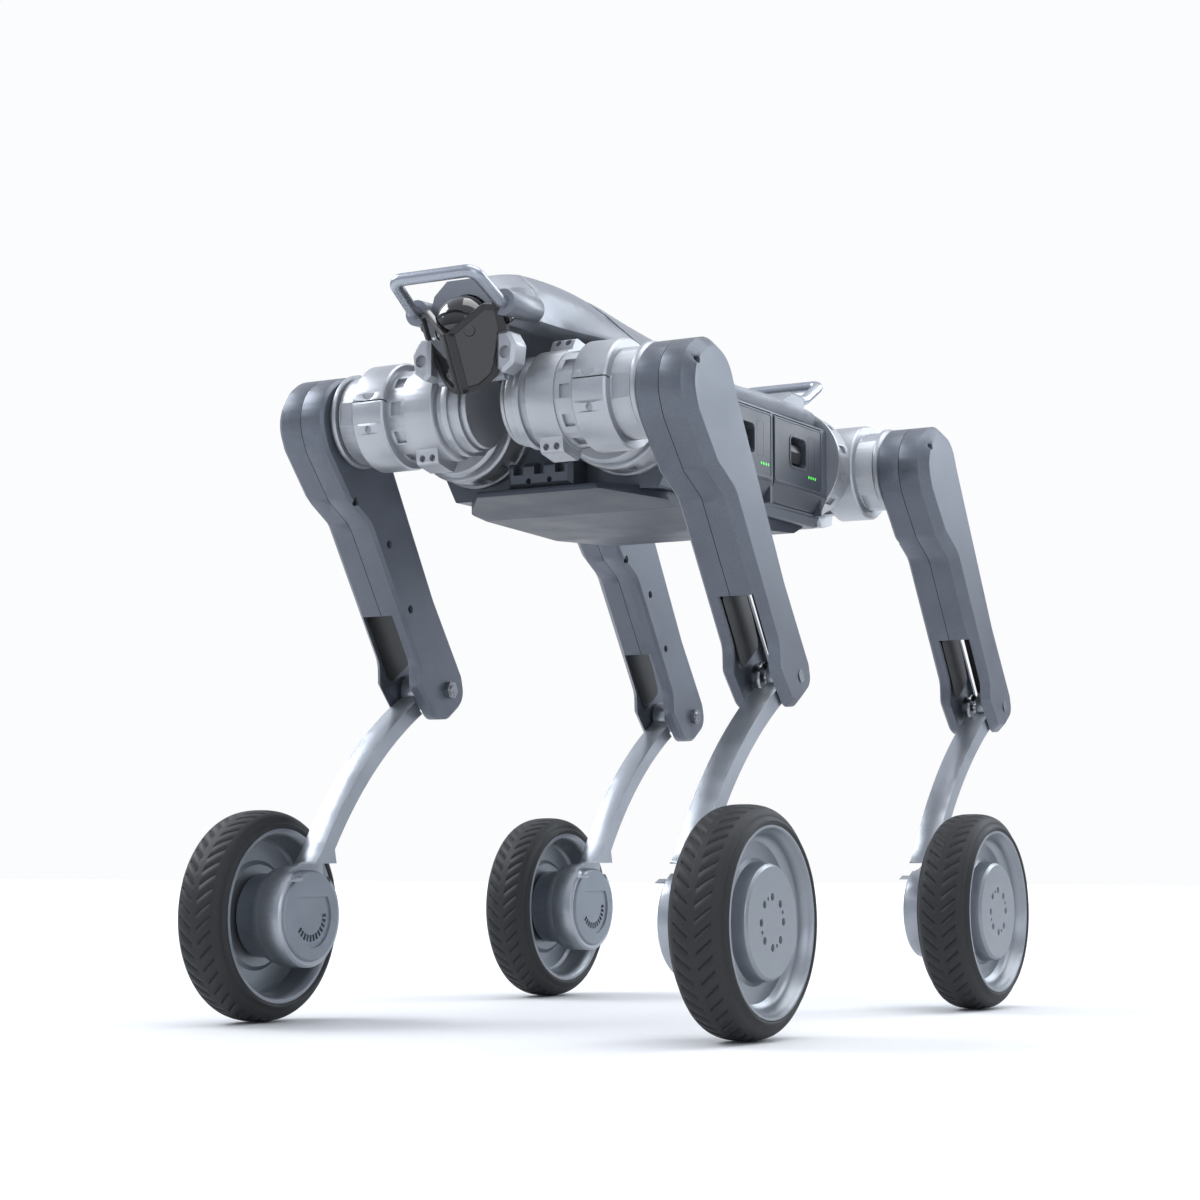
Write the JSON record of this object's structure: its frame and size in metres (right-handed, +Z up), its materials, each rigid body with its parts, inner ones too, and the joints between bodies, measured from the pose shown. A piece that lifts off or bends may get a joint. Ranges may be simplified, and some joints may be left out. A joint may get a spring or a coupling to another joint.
{
  "type": "four wheel robot chassis",
  "caption": "Wheel-legged robot chassis: a low trunk with swing, thigh and knee joints at each corner and a powered wheel at the end of every leg.",
  "frame": {"origin": "on the ground, under the middle of the bounding box", "axes": "+X forwards, to the sensor head; +Y to the robot's left, the battery side; +Z up"},
  "size_m": [0.8164, 0.546, 0.6616],
  "materials": {
    "cast_silver": "fine bead-blasted casting, satin",
    "thigh_grey": "anodised, fine speckle",
    "calf_silver": "satin",
    "motor_grey": "satin anodised",
    "rim_grey": "satin",
    "steel": "satin",
    "dark_steel": "blackened",
    "tyre": "matt",
    "frame_grey": "satin",
    "cover_grey": "satin",
    "black_gloss": "gloss",
    "black_matt": "matt",
    "handle_satin": "satin",
    "belly_dark": "satin",
    "board_case": "satin",
    "battery_case": "satin"
  },
  "bodies": {
    "trunk": {"chassis_frame": "frame_grey", "abad_motors": "cast_silver", "top_cover": "cover_grey", "head_housing": "cover_grey", "head_lamps": "cast_silver", "sensor_dome": "black_gloss", "sensor_guard": "black_matt", "front_handle": "handle_satin", "rear_handle": "handle_satin", "skid_brackets": "frame_grey", "belly_pan": "belly_dark", "main_computer": "board_case"},
    "fl_hip": {"fl_hip_housing": "cast_silver", "fl_hip_clamp": "cast_silver"},
    "fl_thigh": {"fl_thigh_inner": "thigh_grey", "fl_thigh_outer": "thigh_grey", "fl_knee_pin": "steel"},
    "fl_crank": {"fl_knee_crank": "dark_steel"},
    "fl_rod": {"fl_knee_rod": "dark_steel"},
    "fl_shank": {"fl_calf": "calf_silver", "fl_wheel_motor": "motor_grey"},
    "fl_wheel": {"fl_rim": "rim_grey", "fl_tyre": "tyre"},
    "fr_hip": {"fr_hip_housing": "cast_silver", "fr_hip_clamp": "cast_silver"},
    "fr_thigh": {"fr_thigh_inner": "thigh_grey", "fr_thigh_outer": "thigh_grey", "fr_knee_pin": "steel"},
    "fr_crank": {"fr_knee_crank": "dark_steel"},
    "fr_rod": {"fr_knee_rod": "dark_steel"},
    "fr_shank": {"fr_calf": "calf_silver", "fr_wheel_motor": "motor_grey"},
    "fr_wheel": {"fr_rim": "rim_grey", "fr_tyre": "tyre"},
    "rl_hip": {"rl_hip_housing": "cast_silver", "rl_hip_clamp": "cast_silver"},
    "rl_thigh": {"rl_thigh_inner": "thigh_grey", "rl_thigh_outer": "thigh_grey", "rl_knee_pin": "steel"},
    "rl_crank": {"rl_knee_crank": "dark_steel"},
    "rl_rod": {"rl_knee_rod": "dark_steel"},
    "rl_shank": {"rl_calf": "calf_silver", "rl_wheel_motor": "motor_grey"},
    "rl_wheel": {"rl_rim": "rim_grey", "rl_tyre": "tyre"},
    "rr_hip": {"rr_hip_housing": "cast_silver", "rr_hip_clamp": "cast_silver"},
    "rr_thigh": {"rr_thigh_inner": "thigh_grey", "rr_thigh_outer": "thigh_grey", "rr_knee_pin": "steel"},
    "rr_crank": {"rr_knee_crank": "dark_steel"},
    "rr_rod": {"rr_knee_rod": "dark_steel"},
    "rr_shank": {"rr_calf": "calf_silver", "rr_wheel_motor": "motor_grey"},
    "rr_wheel": {"rr_rim": "rim_grey", "rr_tyre": "tyre"},
    "pack_front": {"battery_front": "battery_case"},
    "pack_front_latch": {"latch_front": "black_matt"},
    "pack_rear": {"battery_rear": "battery_case"},
    "pack_rear_latch": {"latch_rear": "black_matt"}
  },
  "joints": [
    {"name": "fl_swing", "type": "hinge", "parent": "trunk", "child": "fl_hip", "pos_m": [0.2885, 0.08, 0.54526], "axis": [1, 0, 0], "range_deg": [-15, 40]},
    {"name": "fl_pitch", "type": "hinge", "parent": "fl_hip", "child": "fl_thigh", "pos_m": [0.2885, 0.17, 0.54526], "axis": [0, -1, 0], "range_deg": [-35, 60]},
    {"name": "fl_knee", "type": "hinge", "parent": "fl_thigh", "child": "fl_shank", "pos_m": [0.13037, 0.19, 0.30815], "axis": [0, 1, 0], "range_deg": [-70, 45]},
    {"name": "fl_crank", "type": "hinge", "parent": "fl_thigh", "child": "fl_crank", "pos_m": [0.2885, 0.19, 0.54526], "axis": [0, 1, 0], "range_deg": [-70, 45]},
    {"name": "fl_rod", "type": "hinge", "parent": "fl_crank", "child": "fl_rod", "pos_m": [0.27604, 0.184, 0.55825], "axis": [0, 1, 0], "range_deg": [-45, 70]},
    {"name": "fl_wheel_spin", "type": "hinge", "parent": "fl_shank", "child": "fl_wheel", "pos_m": [0.30944, 0.25, 0.0955], "axis": [0, 1, 0], "continuous": true},
    {"name": "fr_swing", "type": "hinge", "parent": "trunk", "child": "fr_hip", "pos_m": [0.2885, -0.08, 0.54526], "axis": [-1, 0, 0], "range_deg": [-15, 40]},
    {"name": "fr_pitch", "type": "hinge", "parent": "fr_hip", "child": "fr_thigh", "pos_m": [0.2885, -0.17, 0.54526], "axis": [0, -1, 0], "range_deg": [-35, 60]},
    {"name": "fr_knee", "type": "hinge", "parent": "fr_thigh", "child": "fr_shank", "pos_m": [0.13037, -0.19, 0.30815], "axis": [0, 1, 0], "range_deg": [-70, 45]},
    {"name": "fr_crank", "type": "hinge", "parent": "fr_thigh", "child": "fr_crank", "pos_m": [0.2885, -0.19, 0.54526], "axis": [0, 1, 0], "range_deg": [-70, 45]},
    {"name": "fr_rod", "type": "hinge", "parent": "fr_crank", "child": "fr_rod", "pos_m": [0.27604, -0.184, 0.55825], "axis": [0, 1, 0], "range_deg": [-45, 70]},
    {"name": "fr_wheel_spin", "type": "hinge", "parent": "fr_shank", "child": "fr_wheel", "pos_m": [0.30944, -0.25, 0.0955], "axis": [0, 1, 0], "continuous": true},
    {"name": "rl_swing", "type": "hinge", "parent": "trunk", "child": "rl_hip", "pos_m": [-0.221, 0.08, 0.54526], "axis": [1, 0, 0], "range_deg": [-15, 40]},
    {"name": "rl_pitch", "type": "hinge", "parent": "rl_hip", "child": "rl_thigh", "pos_m": [-0.221, 0.17, 0.54526], "axis": [0, 1, 0], "range_deg": [-35, 60]},
    {"name": "rl_knee", "type": "hinge", "parent": "rl_thigh", "child": "rl_shank", "pos_m": [-0.37913, 0.19, 0.30815], "axis": [0, 1, 0], "range_deg": [-70, 45]},
    {"name": "rl_crank", "type": "hinge", "parent": "rl_thigh", "child": "rl_crank", "pos_m": [-0.221, 0.19, 0.54526], "axis": [0, 1, 0], "range_deg": [-70, 45]},
    {"name": "rl_rod", "type": "hinge", "parent": "rl_crank", "child": "rl_rod", "pos_m": [-0.23346, 0.184, 0.55825], "axis": [0, 1, 0], "range_deg": [-45, 70]},
    {"name": "rl_wheel_spin", "type": "hinge", "parent": "rl_shank", "child": "rl_wheel", "pos_m": [-0.20006, 0.25, 0.0955], "axis": [0, 1, 0], "continuous": true},
    {"name": "rr_swing", "type": "hinge", "parent": "trunk", "child": "rr_hip", "pos_m": [-0.221, -0.08, 0.54526], "axis": [-1, 0, 0], "range_deg": [-15, 40]},
    {"name": "rr_pitch", "type": "hinge", "parent": "rr_hip", "child": "rr_thigh", "pos_m": [-0.221, -0.17, 0.54526], "axis": [0, 1, 0], "range_deg": [-35, 60]},
    {"name": "rr_knee", "type": "hinge", "parent": "rr_thigh", "child": "rr_shank", "pos_m": [-0.37913, -0.19, 0.30815], "axis": [0, 1, 0], "range_deg": [-70, 45]},
    {"name": "rr_crank", "type": "hinge", "parent": "rr_thigh", "child": "rr_crank", "pos_m": [-0.221, -0.19, 0.54526], "axis": [0, 1, 0], "range_deg": [-70, 45]},
    {"name": "rr_rod", "type": "hinge", "parent": "rr_crank", "child": "rr_rod", "pos_m": [-0.23346, -0.184, 0.55825], "axis": [0, 1, 0], "range_deg": [-45, 70]},
    {"name": "rr_wheel_spin", "type": "hinge", "parent": "rr_shank", "child": "rr_wheel", "pos_m": [-0.20006, -0.25, 0.0955], "axis": [0, 1, 0], "continuous": true},
    {"name": "pack_front_slide", "type": "slide", "parent": "trunk", "child": "pack_front", "axis": [0, 1, 0], "range_m": [0, 0.16]},
    {"name": "pack_front_latch_turn", "type": "hinge", "parent": "pack_front", "child": "pack_front_latch", "pos_m": [0.0531, 0.115, 0.551], "axis": [1, 0, 0], "range_deg": [0, 30], "stiffness_Nm_per_rad": 0.03, "springref_deg": -11.46},
    {"name": "pack_rear_slide", "type": "slide", "parent": "trunk", "child": "pack_rear", "axis": [0, 1, 0], "range_m": [0, 0.16]},
    {"name": "pack_rear_latch_turn", "type": "hinge", "parent": "pack_rear", "child": "pack_rear_latch", "pos_m": [-0.0619, 0.115, 0.551], "axis": [1, 0, 0], "range_deg": [0, 30], "stiffness_Nm_per_rad": 0.03, "springref_deg": -11.46}
  ],
  "couplings": [
    {"joint": "fl_crank", "follows": "fl_knee", "ratio": 1},
    {"joint": "fl_rod", "follows": "fl_knee", "ratio": -1},
    {"joint": "fr_crank", "follows": "fr_knee", "ratio": 1},
    {"joint": "fr_rod", "follows": "fr_knee", "ratio": -1},
    {"joint": "rl_crank", "follows": "rl_knee", "ratio": 1},
    {"joint": "rl_rod", "follows": "rl_knee", "ratio": -1},
    {"joint": "rr_crank", "follows": "rr_knee", "ratio": 1},
    {"joint": "rr_rod", "follows": "rr_knee", "ratio": -1}
  ]
}
